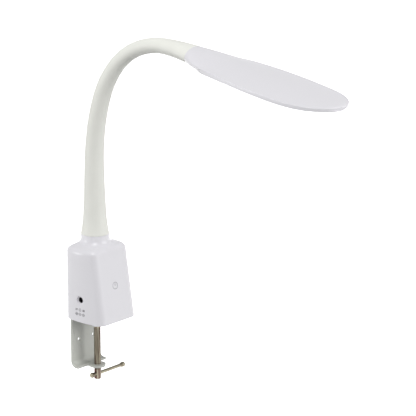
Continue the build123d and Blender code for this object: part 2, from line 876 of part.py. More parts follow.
with BuildPart() as head_bottom_frame:
    add(head_shell.part)
    add(head_layer(split_depth, 40), mode=Mode.SUBTRACT)
    add(window_form(0), mode=Mode.SUBTRACT)
head_bottom = head_location * head_bottom_frame.part
save(head_bottom, "head_bottom_frame")

with BuildPart() as diffuser:
    add(window_form(0.2))
    add(head_layer(0.4, head_wall), mode=Mode.INTERSECT)
    with BuildPart(mode=Mode.PRIVATE) as lip:
        add(window_form(-2.0))
        add(head_layer(head_wall, head_wall + 1.0), mode=Mode.INTERSECT)
        add(head_form(head_wall + 0.15), mode=Mode.INTERSECT)
    add(lip.part)
save(head_location * diffuser.part, "diffuser")

with BuildPart() as led_board:
    with BuildSketch(Plane.XY.offset(board_underside)):
        with Locations((0, -110)):
            RectangleRounded(54, 120, 6)
        with Locations(head_board_points):
            Circle(1.15, mode=Mode.SUBTRACT)
    extrude(amount=head_board_thickness)
save(head_location * led_board.part, "led_board")

with BuildPart() as leds:
    with BuildSketch(Plane.XY.offset(board_underside)):
        with Locations((0, -110)):
            with GridLocations(13, 14, 3, 8):
                Rectangle(2.8, 3.5)
    extrude(amount=-0.7)
save(head_location * leds.part, "leds")

with BuildPart() as head_screws:
    for px, py in head_board_points:
        with Locations((px, py, board_underside)):
            Cylinder(2.0, 0.7, align=(Align.CENTER, Align.CENTER, Align.MAX))
            Cylinder(1.0, 2.9, align=(Align.CENTER, Align.CENTER, Align.MIN))
save(head_location * head_screws.part, "head_screws")

with BuildPart() as neck_clamp_block:
    with Locations((0, -1.5, 0)):
        Box(20, 13, 15.4, align=(Align.CENTER, Align.MAX, Align.CENTER))
    with BuildPart(mode=Mode.PRIVATE) as room:
        add(head_form(head_wall + 0.2))
        add(head_layer(head_wall + 0.2, 40), mode=Mode.INTERSECT)
    add(room.part, mode=Mode.INTERSECT)
block = head_location * neck_clamp_block.part
with BuildPart() as block_bored:
    add(block)
    add(round_form(neck_length, neck_length + 24, core_radius), mode=Mode.SUBTRACT)
save(block_bored.part, "neck_clamp_block")
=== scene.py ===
import json

import bpy
from math import asin, cos, hypot, pi, radians, sin, tan
from mathutils import Matrix, Vector


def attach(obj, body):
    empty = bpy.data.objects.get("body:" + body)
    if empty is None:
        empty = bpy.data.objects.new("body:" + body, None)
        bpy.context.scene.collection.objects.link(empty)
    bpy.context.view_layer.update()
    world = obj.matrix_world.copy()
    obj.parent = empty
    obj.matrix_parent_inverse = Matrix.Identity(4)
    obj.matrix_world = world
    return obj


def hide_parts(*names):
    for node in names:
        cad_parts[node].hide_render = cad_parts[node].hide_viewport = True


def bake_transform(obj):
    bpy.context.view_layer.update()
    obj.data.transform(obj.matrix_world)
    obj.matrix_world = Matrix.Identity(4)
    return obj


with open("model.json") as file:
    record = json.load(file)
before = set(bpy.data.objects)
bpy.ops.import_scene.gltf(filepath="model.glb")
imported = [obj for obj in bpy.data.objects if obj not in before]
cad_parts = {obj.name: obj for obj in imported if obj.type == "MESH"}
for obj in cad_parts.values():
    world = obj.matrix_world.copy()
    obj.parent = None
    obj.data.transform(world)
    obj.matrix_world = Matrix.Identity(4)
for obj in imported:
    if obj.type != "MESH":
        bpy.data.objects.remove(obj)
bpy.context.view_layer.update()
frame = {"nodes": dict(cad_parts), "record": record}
nodes = frame["nodes"]

MM = 0.001

# ------------------------------------------------------------------ node material helpers


class Mat:
    """A principled material and short calls for the nodes that feed it."""

    def __init__(self, name, color, rough, metal=0.0, **sockets):
        self.m = bpy.data.materials.new(name)
        self.m.use_nodes = True
        self.t = self.m.node_tree
        self.p = self.t.nodes["Principled BSDF"]
        self.p.inputs["Base Color"].default_value = (*color, 1)
        self.p.inputs["Roughness"].default_value = rough
        self.p.inputs["Metallic"].default_value = metal
        for key, value in sockets.items():
            self.p.inputs[key.replace("_", " ")].default_value = value
        self.co = self.t.nodes.new("ShaderNodeTexCoord").outputs["Object"]
        self.bumped = None

    def n(self, kind, **inputs):
        """New node. An input is named by its label, or as i0, i1 by its number."""
        node = self.t.nodes.new(kind)
        for key, value in inputs.items():
            socket = node.inputs[int(key[1:])] if key[0] == "i" and key[1:].isdigit() else (
                node.inputs[key.replace("_", " ")]
            )
            if hasattr(value, "links"):
                self.t.links.new(value, socket)
            else:
                socket.default_value = value
        return node

    def noise(self, scale, detail=3.0, rough=0.5, stretch=None):
        """Noise over the piece, drawn out along an axis when stretch is given."""
        vector = self.co
        if stretch:
            vector = self.n("ShaderNodeMapping", Vector=self.co, Scale=stretch).outputs["Vector"]
        return self.n(
            "ShaderNodeTexNoise", Vector=vector, Scale=scale, Detail=detail, Roughness=rough
        ).outputs["Fac"]

    def ramp(self, value, low, high, a=0.0, b=1.0):
        """Turns low..high into a..b."""
        node = self.n("ShaderNodeMapRange", Value=value)
        for key, number in zip(("From Min", "From Max", "To Min", "To Max"), (low, high, a, b)):
            node.inputs[key].default_value = number
        return node.outputs["Result"]

    def mix(self, fac, a, b):
        """Base colour between a and b."""
        node = self.t.nodes.new("ShaderNodeMix")
        node.data_type = "RGBA"
        self.t.links.new(fac, node.inputs["Factor"])
        node.inputs["A"].default_value = (*a, 1)
        node.inputs["B"].default_value = (*b, 1)
        self.t.links.new(node.outputs["Result"], self.p.inputs["Base Color"])
        return node

    def roughness(self, value):
        self.t.links.new(value, self.p.inputs["Roughness"])

    def bump(self, height, strength, distance):
        node = self.n("ShaderNodeBump", Height=height, Strength=strength, Distance=distance)
        if self.bumped is not None:
            self.t.links.new(self.bumped, node.inputs["Normal"])
        self.bumped = node.outputs["Normal"]
        self.t.links.new(self.bumped, self.p.inputs["Normal"])


def plastic(name, light, dark, rough, grain, depth, **sockets):
    """Moulded plastic: faint tone drift, slightly uneven gloss and a fine texture."""
    k = Mat(name, light, rough, **sockets)
    k.mix(k.ramp(k.noise(12, 1), 0.0, 1.0), dark, light)
    k.roughness(k.ramp(k.noise(30, 1), 0.0, 1.0, rough - 0.02, rough + 0.03))
    k.bump(k.noise(grain, 1), 0.03, depth)
    return k.m


def metal(name, light, dark, rough, stretch, scale=900, **sockets):
    """Metal with drawn or turned marks and patches of tarnish."""
    k = Mat(name, light, rough, 1.0, **sockets)
    k.mix(k.ramp(k.noise(scale * 0.35, 4, 0.6, stretch), 0.35, 0.68), dark, light)
    k.roughness(k.ramp(k.noise(scale, 3, 0.6, stretch), 0.3, 0.7, rough - 0.08, rough + 0.12))
    k.bump(k.noise(scale * 1.6, 2, 0.5, stretch), 0.2, 0.00004)
    return k.m


gloss_white = plastic(
    "gloss_white_plastic", (0.70, 0.692, 0.725), (0.69, 0.682, 0.715), 0.30, 500, 0.00001,
    Coat_Weight=0.3, Coat_Roughness=0.15,
)
soft_white = plastic(
    "white_plastic", (0.70, 0.695, 0.72), (0.67, 0.665, 0.69), 0.5, 1400, 0.00006
)
black = plastic("black_plastic", (0.016, 0.016, 0.018), (0.01, 0.01, 0.011), 0.38, 1200, 0.00005)
opal = plastic(
    "opal_plastic", (0.86, 0.86, 0.85), (0.83, 0.83, 0.82), 0.42, 1600, 0.00004,
    Subsurface_Weight=0.2, Subsurface_Scale=0.003,
)

silicone_maker = Mat(
    "cream_silicone", (0.72, 0.725, 0.675), 0.5, Sheen_Weight=0.2, Sheen_Roughness=0.5
)
silicone_maker.mix(
    silicone_maker.ramp(silicone_maker.noise(55, 3), 0.3, 0.7),
    (0.735, 0.74, 0.69), (0.76, 0.765, 0.715),
)
silicone_maker.roughness(silicone_maker.ramp(silicone_maker.noise(260, 4), 0.3, 0.7, 0.44, 0.58))
silicone_maker.bump(silicone_maker.noise(1500, 3), 0.3, 0.00008)
silicone = silicone_maker.m

powder_maker = Mat("painted_steel", (0.52, 0.53, 0.49), 0.42)
powder_maker.mix(
    powder_maker.ramp(powder_maker.noise(60, 3), 0.3, 0.7), (0.50, 0.51, 0.47), (0.54, 0.55, 0.51)
)
powder_maker.roughness(powder_maker.ramp(powder_maker.noise(400, 3), 0.3, 0.7, 0.36, 0.5))
powder_maker.bump(powder_maker.noise(1100, 2), 0.35, 0.00012)
painted = powder_maker.m

passivated = metal(
    "passivated_steel", (0.36, 0.34, 0.26), (0.13, 0.065, 0.055), 0.36, (1, 1, 0.06), 420
)
tarnish_maker = Mat("screw_steel", (0.36, 0.34, 0.26), 0.36, 1.0)
streak = tarnish_maker.noise(330, 3, 0.6, (1, 1, 0.05))
height = tarnish_maker.n("ShaderNodeSeparateXYZ", Vector=tarnish_maker.co).outputs["Z"]
# below 64 mm down, the screw's streaks lean toward the dark brown, so the lower end is coloured
# darker
darker_low_end = tarnish_maker.n(
    "ShaderNodeMath", i0=streak, i1=tarnish_maker.ramp(height, -0.060, -0.064, 0.0, -0.12)
).outputs["Value"]
tarnish_maker.mix(
    tarnish_maker.ramp(darker_low_end, 0.36, 0.62), (0.08, 0.04, 0.034), (0.42, 0.40, 0.31)
)
tarnish_maker.roughness(tarnish_maker.ramp(streak, 0.3, 0.7, 0.5, 0.3))
tarnish_maker.bump(tarnish_maker.noise(900, 3), 0.3, 0.00006)
tarnished = tarnish_maker.m
nickel = metal("nickel_steel", (0.36, 0.34, 0.26), (0.13, 0.105, 0.08), 0.34, (0.15, 1, 1))
zinc = metal("zinc_plated_steel", (0.60, 0.61, 0.64), (0.42, 0.43, 0.46), 0.34, (1, 1, 1))
cast_zinc = metal("zinc_block", (0.50, 0.51, 0.52), (0.36, 0.37, 0.38), 0.5, (1, 1, 1), 700)
tinned = metal("tinned_brass", (0.30, 0.29, 0.26), (0.2, 0.19, 0.17), 0.35, (0.2, 1, 1))
coil_steel = metal("coiled_steel", (0.42, 0.43, 0.44), (0.24, 0.245, 0.25), 0.4, (1, 1, 1))

rubber_maker = Mat("grey_rubber", (0.055, 0.055, 0.058), 0.75)
rubber_maker.mix(
    rubber_maker.ramp(rubber_maker.noise(180, 4), 0.3, 0.7), (0.04, 0.04, 0.042), (0.07, 0.07, 0.073)
)
rubber_maker.bump(rubber_maker.noise(1300, 3), 0.5, 0.00015)
rubber = rubber_maker.m

board_maker = Mat("circuit_laminate", (0.02, 0.12, 0.05), 0.35)
board_maker.mix(
    board_maker.ramp(board_maker.noise(420, 1), 0.49, 0.52), (0.012, 0.085, 0.035), (0.03, 0.16, 0.07)
)
board_maker.bump(board_maker.noise(420, 1), 0.3, 0.00005)
laminate = board_maker.m

insulation = plastic("lead_insulation", (0.42, 0.02, 0.018), (0.33, 0.015, 0.014), 0.4, 900, 0.00004)
phosphor = plastic("led_phosphor", (0.80, 0.62, 0.10), (0.74, 0.54, 0.07), 0.45, 2500, 0.00005)
white_board = plastic("board_aluminium", (0.80, 0.80, 0.80), (0.76, 0.76, 0.76), 0.4, 900, 0.00004)
print_grey = plastic("printed_mark", (0.23, 0.225, 0.24), (0.19, 0.185, 0.2), 0.5, 1200, 0.00002)
icon_grey = plastic("icon_print", (0.27, 0.265, 0.29), (0.24, 0.235, 0.26), 0.45, 1200, 0.00002)

by_slot = {
    "gloss_white_plastic": gloss_white, "white_plastic": soft_white, "painted_steel": painted,
    "zinc_plated_steel": zinc, "grey_rubber": rubber, "passivated_steel": passivated,
    "nickel_steel": nickel, "black_plastic": black, "tinned_brass": tinned,
    "circuit_laminate": laminate, "lead_insulation": insulation, "cream_silicone": silicone,
    "coiled_steel": coil_steel, "opal_plastic": opal, "board_aluminium": white_board,
    "led_phosphor": phosphor, "zinc_block": cast_zinc,
}
for part in frame["record"]["subparts"]:
    node = nodes[part["node"]]
    node.data.materials.clear()
    node.data.materials.append(by_slot[part["material_slot"]])

# ------------------------------------------------------------------ mesh helpers


def piece(name, points, faces, material, smooth_angle=32):
    """A mesh object from points in millimetres."""
    mesh = bpy.data.meshes.new(name)
    mesh.from_pydata([Vector(p) * MM for p in points], [], faces)
    mesh.validate()
    mesh.materials.append(material)
    thing = bpy.data.objects.new(name, mesh)
    bpy.context.scene.collection.objects.link(thing)
    bpy.context.view_layer.objects.active = thing
    for other in bpy.context.selected_objects:
        other.select_set(False)
    thing.select_set(True)
    bpy.ops.object.mode_set(mode="EDIT")
    bpy.ops.mesh.select_all(action="SELECT")
    bpy.ops.mesh.normals_make_consistent(inside=False)
    bpy.ops.object.mode_set(mode="OBJECT")
    mesh.polygons.foreach_set("use_smooth", [True] * len(mesh.polygons))
    mesh.set_sharp_from_angle(angle=radians(smooth_angle))
    return thing


def ring_faces(rings, count, closed_loop=False, cap_start=False, cap_end=False):
    """Quads between rings of equal length, with optional caps."""
    faces = []
    pairs = rings if closed_loop else rings - 1
    for i in range(pairs):
        a, b = i * count, ((i + 1) % rings) * count
        for j in range(count):
            k = (j + 1) % count
            faces.append((a + j, a + k, b + k, b + j))
    if cap_start:
        faces.append(tuple(reversed(range(count))))
    if cap_end:
        faces.append(tuple(range((rings - 1) * count, rings * count)))
    return faces


def ringed(name, rings, material, slot_name, smooth_angle=32, **caps):
    points = [p for ring in rings for p in ring]
    faces = ring_faces(len(rings), len(rings[0]), **caps)
    return piece(name, points, faces, material, smooth_angle)


def lathe(name, profile, place, material, slot_name, count=48, **caps):
    """Turned piece: profile is (radius, height), place puts it in the row frame."""
    rings = [
        [
            place @ Vector((r * cos(2 * pi * j / count), r * sin(2 * pi * j / count), h))
            for j in range(count)
        ]
        for r, h in profile
    ]
    return ringed(name, rings, material, slot_name, **caps)


def cut(thing, tool):
    """Takes the tool's space out of a piece, for a real hole."""
    change = thing.modifiers.new("hole", "BOOLEAN")
    change.operation, change.solver, change.object = "DIFFERENCE", "EXACT", tool
    bpy.context.view_layer.update()
    done = bpy.data.meshes.new_from_object(
        thing.evaluated_get(bpy.context.evaluated_depsgraph_get())
    )
    thing.modifiers.clear()
    thing.data = done
    bpy.data.objects.remove(tool)
    done.polygons.foreach_set("use_smooth", [True] * len(done.polygons))
    done.set_sharp_from_angle(angle=radians(32))
    while len(done.materials) > 1:
        done.materials.pop()


def curve_through(stations):
    """Smooth function through (distance, value) stations, without overshoot."""
    xs, ys = [s[0] for s in stations], [s[1] for s in stations]
    slopes = [(ys[i + 1] - ys[i]) / (xs[i + 1] - xs[i]) for i in range(len(xs) - 1)]
    tangents = [slopes[0]]
    for left, right in zip(slopes, slopes[1:]):
        tangents.append(0.0 if left * right <= 0 else 2 * left * right / (left + right))
    tangents.append(slopes[-1])

    def value(x):
        x = min(max(x, xs[0]), xs[-1])
        i = max(k for k in range(len(xs) - 1) if xs[k] <= x)
        span = xs[i + 1] - xs[i]
        t = (x - xs[i]) / span
        a, b = ys[i], ys[i + 1]
        return (
            a * (1 + 2 * t) * (1 - t) ** 2
            + b * t * t * (3 - 2 * t)
            + span * (tangents[i] * t * (1 - t) ** 2 - tangents[i + 1] * t * t * (1 - t))
        )

    return value


# ------------------------------------------------------------------ housing

CASE = dict(side=32.4, corner=30.2, front=-35.5, back=22.5, radius=9.0, lean=8.8, wall=2.5)
NECK_Y, COLLAR_TOP = 1.5, 99.0
# steps along a flat face, along a bowed side and round a corner
FLAT, BOW, ROUND = 16, 20, 12


def case_outline(z, inset):
    """Rounded plan outline of the housing at a height, always the same number of points."""
    r = CASE["radius"] - inset
    front = CASE["front"] + z * tan(radians(CASE["lean"])) + inset + r
    back = CASE["back"] - inset - r
    half = CASE["corner"] - inset - r
    bow = CASE["side"] - CASE["corner"]
    chord = (back - front) / 2
    big = (chord * chord + bow * bow) / (2 * bow)
    span = asin(chord / big)
    middle = (front + back) / 2
    centre = half + bow - big
    points = []

    def arc(cx, cy, radius, start, end, steps, close=False):
        for i in range(steps + (1 if close else 0)):
            a = start + (end - start) * i / steps
            points.append((cx + radius * cos(a), cy + radius * sin(a)))

    def line(x0, y0, x1, y1, steps):
        for i in range(steps):
            t = i / steps
            points.append((x0 + (x1 - x0) * t, y0 + (y1 - y0) * t))

    line(-half, front - r, half, front - r, FLAT)
    arc(half, front, r, -pi / 2, -span, ROUND)
    arc(centre, middle, big + r, -span, span, BOW)
    arc(half, back, r, span, pi / 2, ROUND)
    line(half, back + r, -half, back + r, FLAT)
    arc(-half, back, r, pi / 2, pi - span, ROUND)
    arc(-centre, middle, big + r, pi - span, pi + span, BOW)
    arc(-half, front, r, pi + span, 3 * pi / 2, ROUND)
    return points


RIM_Z, ROOF_DROP = 0.9, 2.6
WALL_TOP, WALL_STEPS = 80.3, 14
SHOULDER_RISE, SHOULDER_REACH, SHOULDER_SWEEP, SHOULDER_STEPS = 6.6, 0.5, 0.92, 9
COLLAR_START_Z, FLARE_RADIUS, FLARE_RISE, FLARE_REACH = 94.4, 16.5, 5.9, 0.33
FLARE_START, FLARE_STEPS = 0.1, 10
ROOF_RINGS = SHOULDER_STEPS + 2


def case_rings(inset, drop, stop):
    """Rings up the wall, round the shoulder, over the roof and up the flare to the collar.

    The roof's profile gives, for each ring, its share of the way from the wall to the collar
    and its height. Stop says how many rings of that profile are wanted.
    """
    rings = []
    outline = case_outline(WALL_TOP, inset)
    way, reach = [], []
    for x, y in outline:
        r = hypot(x, y - NECK_Y)
        way.append((x / r, (y - NECK_Y) / r))
        reach.append(r)
    for i in range(WALL_STEPS + 1):
        z = RIM_Z + (WALL_TOP - drop - RIM_Z) * i / WALL_STEPS
        rings.append([(x, y, z) for x, y in case_outline(z, inset)])
    profile = []
    for i in range(1, SHOULDER_STEPS + 1):
        a = pi / 2 * SHOULDER_SWEEP * i / SHOULDER_STEPS
        profile.append((SHOULDER_REACH * (1 - cos(a)), WALL_TOP + SHOULDER_RISE * sin(a)))
    t0, z0 = profile[-1]
    flare = []
    for i in range(FLARE_STEPS + 1):
        a = FLARE_START + (pi / 2 - FLARE_START) * i / FLARE_STEPS
        flare.append((1 - FLARE_REACH * (1 - sin(a)), COLLAR_START_Z - FLARE_RISE * cos(a)))
    t1, z1 = flare[0]
    for i in (1, 2):
        profile.append((t0 + (t1 - t0) * i / 3, z0 + (z1 - z0) * i / 3))
    profile += flare
    for t, z in profile[:stop]:
        ring = []
        for k, (wx, wy) in enumerate(way):
            r = reach[k] + (FLARE_RADIUS - reach[k]) * t
            ring.append((wx * r, NECK_Y + wy * r, z - drop))
        rings.append(ring)
    return rings, way


outer, around = case_rings(0.0, 0.0, ROOF_RINGS + FLARE_STEPS + 1)
inner, _ = case_rings(CASE["wall"], ROOF_DROP, ROOF_RINGS)


def collar_ring(r, z):
    """Ring round the neck axis with as many points as the housing outline."""
    return [(dx * r, NECK_Y + dy * r, z) for dx, dy in around]


lip_out = [(x, y, 0.5) for x, y in case_outline(0.5, 0.4)]
lip_in = [(x, y, 0.5) for x, y in case_outline(0.5, 2.1)]
collar = [
    collar_ring(16.4, 96.0), collar_ring(16.33, 97.5), collar_ring(16.3, 98.5),
    collar_ring(16.25, 98.9), collar_ring(16.0, 99.0), collar_ring(13.9, 99.0),
    collar_ring(13.8, 98.6), collar_ring(13.8, 93.0), collar_ring(8.8, 93.0),
    collar_ring(8.8, 87.3), collar_ring(14.0, 87.2),
]
housing = ringed(
    "housing", [lip_out] + outer + collar + list(reversed(inner)) + [lip_in],
    gloss_white, "gloss_white_plastic", 28, closed_loop=True,
)

# holes for the button and the socket
lean = radians(CASE["lean"])
BUTTON_Z = 42.2
front_y = CASE["front"] + BUTTON_Z * tan(lean)
face_normal = Vector((0, -cos(lean), sin(lean)))
face_up = Vector((0, sin(lean), cos(lean)))
face_place = Matrix(
    [
        [1, face_up.x, face_normal.x, 0],
        [0, face_up.y, face_normal.y, front_y],
        [0, face_up.z, face_normal.z, BUTTON_Z],
        [0, 0, 0, 1],
    ]
)
SOCKET_Y, SOCKET_Z = -3.9, 27.0
side_place = Matrix(
    [[0, 0, -1, -CASE["side"]], [-1, 0, 0, SOCKET_Y], [0, 1, 0, SOCKET_Z], [0, 0, 0, 1]]
)
button_hole = lathe(
    "button_hole", [(3.6, 3), (3.6, -6)], face_place, black, "black_plastic", 64,
    cap_start=True, cap_end=True,
)
cut(housing, button_hole)
socket_hole = lathe(
    "socket_hole", [(5.1, 3), (5.1, -0.1), (4.8, -0.5), (4.8, -1.5), (3.5, -1.5), (3.5, -6)],
    side_place, black, "black_plastic", 64, cap_start=True, cap_end=True,
)
cut(housing, socket_hole)
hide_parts("housing_shell")
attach(housing, "clamp_base")

button = lathe(
    "power_button_cap",
    [(0.01, -0.12), (1.4, -0.11), (2.6, -0.05), (3.25, -0.02), (3.45, -0.12), (3.5, -0.3),
     (3.5, -2.8), (4.7, -2.8), (4.7, -3.8), (1.6, -3.8), (1.6, -6.4), (0.01, -6.4)],
    face_place, gloss_white, "gloss_white_plastic", 64, cap_start=True, cap_end=True,
)
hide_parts("power_button")
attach(button, "button")


def strip(name, outline, lift, place, material, slot_name):
    """Thin printed shape: a closed outline raised a little from its face."""
    low = [place @ Vector((x, y, lift[0])) for x, y in outline]
    high = [place @ Vector((x, y, lift[1])) for x, y in outline]
    return ringed(name, [low, high], material, slot_name, 20, cap_start=True, cap_end=True)


def annulus(name, r0, r1, centre, lift, place, material, slot_name, count=48):
    """Thin printed ring between two radii."""
    cx, cy = centre
    rings = []
    for r, h in ((r0, lift[0]), (r1, lift[0]), (r1, lift[1]), (r0, lift[1])):
        rings.append(
            [
                place @ Vector(
                    (cx + r * cos(2 * pi * j / count), cy + r * sin(2 * pi * j / count), h)
                )
                for j in range(count)
            ]
        )
    return ringed(name, rings, material, slot_name, 20, closed_loop=True)


def bar(x0, x1, y0, y1):
    """Outline of a rectangle."""
    return [(x0, y0), (x1, y0), (x1, y1), (x0, y1)]


mark_ring = annulus(
    "power_mark_ring", 3.75, 4.2, (0, 0), (-0.1, 0.02), face_place, icon_grey,
    "gloss_white_plastic",
)
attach(mark_ring, "clamp_base")
mark_bar = strip(
    "power_mark_bar", bar(-0.34, 0.34, -0.2, 2.6), (-0.14, 0.0), face_place, icon_grey,
    "gloss_white_plastic",
)
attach(mark_bar, "button")

# ------------------------------------------------------------------ gooseneck

LINKS = [30.0, 45.0, 45.0, 45.0, 45.0, 42.0, 40.0, 39.0]
TURNS = [0.0, 0.0, 8.0, 12.0, 22.5, 27.0, 22.5, 7.0]
NECK = sum(LINKS)
half_width = curve_through([
    (0, 16.3), (8, 14.9), (20, 13.6), (40, 12.5), (80, 11.3), (120, 10.6), (170, 10.0),
    (220, 9.0), (255, 8.6), (275, 8.8), (292, 10.2), (310, 13.0), (NECK, 17.0),
])
half_depth = curve_through([
    (0, 16.3), (8, 14.9), (20, 13.6), (40, 12.5), (80, 11.3), (120, 10.6), (170, 10.0),
    (220, 9.0), (255, 8.6), (275, 8.6), (292, 8.9), (310, 9.5), (NECK, 10.0),
])


def neck_at(s):
    """Place of the neck axis at a distance from the collar: local z runs along it."""
    y, z, turn, left = NECK_Y, COLLAR_TOP, 0.0, s
    for number, (length, bend) in enumerate(zip(LINKS, TURNS)):
        step = left if number == len(LINKS) - 1 else min(left, length)
        part_bend = bend * min(step / length, 1.0)
        mean = radians(turn + part_bend / 2)
        y -= step * sin(mean)
        z += step * cos(mean)
        turn += part_bend
        left -= step
    a = radians(turn)
    return Matrix(
        [[1, 0, 0, 0], [0, cos(a), -sin(a), y], [0, sin(a), cos(a), z], [0, 0, 0, 1]]
    )


EDGE = 0.25


def neck_tube(name, start, end, outer_w, outer_d, bore, material, slot_name, count, step,
              side=0.0, round_start=False, round_end=False):
    """Closed tube along the neck between two distances, with a soft edge where asked."""
    total = max(2, round((end - start) / step))
    stops = [start + (end - start) * i / total for i in range(total + 1)]
    rings = []

    def ring(s, w, d):
        place = neck_at(s)
        return [
            place @ Vector(
                (side + w * cos(2 * pi * j / count), d * sin(2 * pi * j / count), 0)
            )
            for j in range(count)
        ]

    for i, s in enumerate(stops):
        w, d = outer_w(s), outer_d(s)
        if round_start and i == 0:
            soft = [(EDGE, 0.0), (0.07, 0.07), (0.0, EDGE)]
            rings += [ring(s + along, w - back_off, d - back_off) for back_off, along in soft]
        elif round_end and i == total:
            soft = [(0.0, EDGE), (0.07, 0.07), (EDGE, 0.0)]
            rings += [ring(s - along, w - back_off, d - back_off) for back_off, along in soft]
        else:
            rings.append(ring(s, w, d))
    rings.append(ring(end, bore, bore))
    for s in reversed(stops[1:-1:3]):
        rings.append(ring(s, bore, bore))
    rings.append(ring(start, bore, bore))
    return ringed(name, rings, material, slot_name, 40, closed_loop=True)


bodies = ["clamp_base"] + [f"neck_link_{k}" for k in range(2, 8)] + ["lamp_head"]
joint_at, run = [], 0.0
for length in LINKS[:-1]:
    run += length
    joint_at.append(run)
middles = [(joint_at[i] + joint_at[i + 1]) / 2 for i in range(6)]
cuts = [0.0] + middles + [NECK]
BEND_REACH = 17.0
COIL_RADIUS, COIL_GROOVE, COIL_BORE, COIL_PAST_NECK = 6.5, 6.15, 4.3, 13.0
LEAD_RADIUS, LEAD_X = 0.9, 1.3


def coil_ridge(s):
    """Turns of the coiled steel, one ridge in every two millimetres."""
    return COIL_RADIUS if int(s) % 2 else COIL_GROOVE


def lead_radius(s):
    return LEAD_RADIUS


# each piece of the neck spans one bend, where two bodies meet
for i in range(7):
    a, b = bodies[i], bodies[i + 1]
    start = neck_at(joint_at[i] - BEND_REACH).to_translation() * MM
    end = neck_at(joint_at[i] + BEND_REACH).to_translation() * MM
    skin = neck_tube(
        f"neck_sleeve_skin_{i + 1}", cuts[i], cuts[i + 1], half_width, half_depth, 6.6,
        silicone, "cream_silicone", 56, 1.5, round_start=i == 0, round_end=i == 6,
    )
    coil_high = NECK + COIL_PAST_NECK if i == 6 else cuts[i + 1]
    coil = neck_tube(
        f"neck_coil_{i + 1}", cuts[i], coil_high, coil_ridge, coil_ridge, COIL_BORE,
        coil_steel, "coiled_steel", 28, 1.0,
    )
    wires = [
        neck_tube(
            f"neck_lead_{label}_{i + 1}", cuts[i], coil_high, lead_radius, lead_radius, 0.5,
            insulation, "lead_insulation", 10, 3.0, side=x,
        )
        for label, x in (("left", -LEAD_X), ("right", LEAD_X))
    ]
    # the last piece takes the place of two links
    numbers = (7, 8) if i == 6 else (i + 1,)
    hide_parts(*[f"neck_sleeve_{k}" for k in numbers])
    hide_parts(*[f"neck_core_{k}" for k in numbers])
    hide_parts(*[f"neck_leads_{k}" for k in numbers])
    for thing in (skin, coil, *wires):
        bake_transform(thing)

# ------------------------------------------------------------------ lamp head

TILT = radians(sum(TURNS))
seam = neck_at(NECK).to_translation()
head_place = Matrix(
    [
        [1, 0, 0, 0],
        [0, sin(TILT), cos(TILT), seam.y],
        [0, -cos(TILT), sin(TILT), seam.z],
        [0, 0, 0, 1],
    ]
)
HEAD, RISE, RISE_START = 204.5, 3.5, 140.0
head_w = curve_through([
    (0, 17.0), (12, 24.0), (28, 31.5), (55, 38.0), (90, 43.0), (120, 44.2), (148, 42.9),
    (168, 39.4), (182, 33.6), (193, 25.0), (200, 15.5), (203.7, 0.02),
])
head_d = curve_through([
    (0, 10.0), (12, 9.6), (28, 8.4), (55, 6.9), (90, 5.9), (120, 5.6), (148, 5.3), (168, 5.0),
    (182, 4.6), (193, 4.0), (200, 3.2), (203.7, 2.2),
])
head_under = curve_through([
    (0, -10.2), (12, -9.8), (28, -7.8), (55, -4.7), (90, -3.4), (140, -3.4), (HEAD, -3.4),
])


def head_rise(s):
    run_up = max(0.0, s - RISE_START) / (HEAD - RISE_START)
    return RISE * run_up * run_up


CROWN_STEPS, BAND, FILLET, SINK = 26, 2.6, 1.2, 0.45


def crown(s, inset):
    """Half section of the top cover from its edge to the middle, as (x, z).

    The flat part of the head has an upright band, a small fillet and a panel that sits a
    little lower than the fillet. Near the neck the section turns into a plain arch.
    """
    w, d, h = head_w(s), head_d(s), head_rise(s)
    low = head_under(s) + h + 2.6
    flat = min(max((s - 10) / 50, 0.0), 1.0)
    flat = flat * flat * (3 - 2 * flat)
    thin = min(1.0, d / 5) * min(1.0, w / 10)
    band, fillet, sink = BAND * min(1.0, d / 5), FILLET * thin, SINK * thin
    start = asin(max(-1.0, min(1.0, (low - h) / d)))
    wide = w - fillet
    points = []
    for i in range(CROWN_STEPS + 1):
        t = i / CROWN_STEPS
        angle = start + (pi / 2 - start) * t
        arch = (w * cos(angle), h + d * sin(angle))
        if t < 0.12:
            edge = (w, low + (h + band - low) * t / 0.12)
        elif t < 0.32:
            b = (t - 0.12) / 0.2 * pi / 2
            edge = (w - fillet * (1 - cos(b)), h + band + 0.8 * fillet * sin(b))
        else:
            u = ((t - 0.32) / 0.68) ** 2
            x = wide * (1 - u)
            top = h + band + 0.8 * fillet
            step = min(1.0, (wide - x) / 1.1)
            edge = (x, top - sink * step * step * (3 - 2 * step) + (h + d - top) * (2 * u - u * u))
        x = arch[0] + (edge[0] - arch[0]) * flat
        z = arch[1] + (edge[1] - arch[1]) * flat
        points.append((x, z))
    if inset:
        points = [
            (max(x - inset, 0.0) if i < CROWN_STEPS else 0.0, max(z - inset * min(1.0, i / 5), low))
            for i, (x, z) in enumerate(points)
        ]
    return points


def head_ring(s, inset):
    """Whole section of the top cover, from the right edge over the middle to the left edge."""
    half = crown(s, inset)
    return half + [(-x, z) for x, z in reversed(half[:-1])]


COVER_WALL = 1.8
TIP_START, HEAD_END, BODY_STEP, TIP_STEPS = 170.0, 203.7, 2.5, 26
head_stops = [i * BODY_STEP for i in range(round(TIP_START / BODY_STEP))]
# the stops crowd together toward the tip, where the outline turns
for i in range(TIP_STEPS + 1):
    way_left = (1 - i / TIP_STEPS) ** 2
    head_stops.append(TIP_START + (HEAD_END - TIP_START) * (1 - way_left))
points, faces = [], []
per = len(head_ring(10, 0))
for s in head_stops:
    for x, z in head_ring(s, 0):
        points.append(head_place @ Vector((x, -s, z)))
for s in head_stops:
    inner_s = min(s, HEAD_END - COVER_WALL)
    for x, z in head_ring(inner_s, COVER_WALL):
        points.append(head_place @ Vector((x, -inner_s, z)))
rows = len(head_stops)
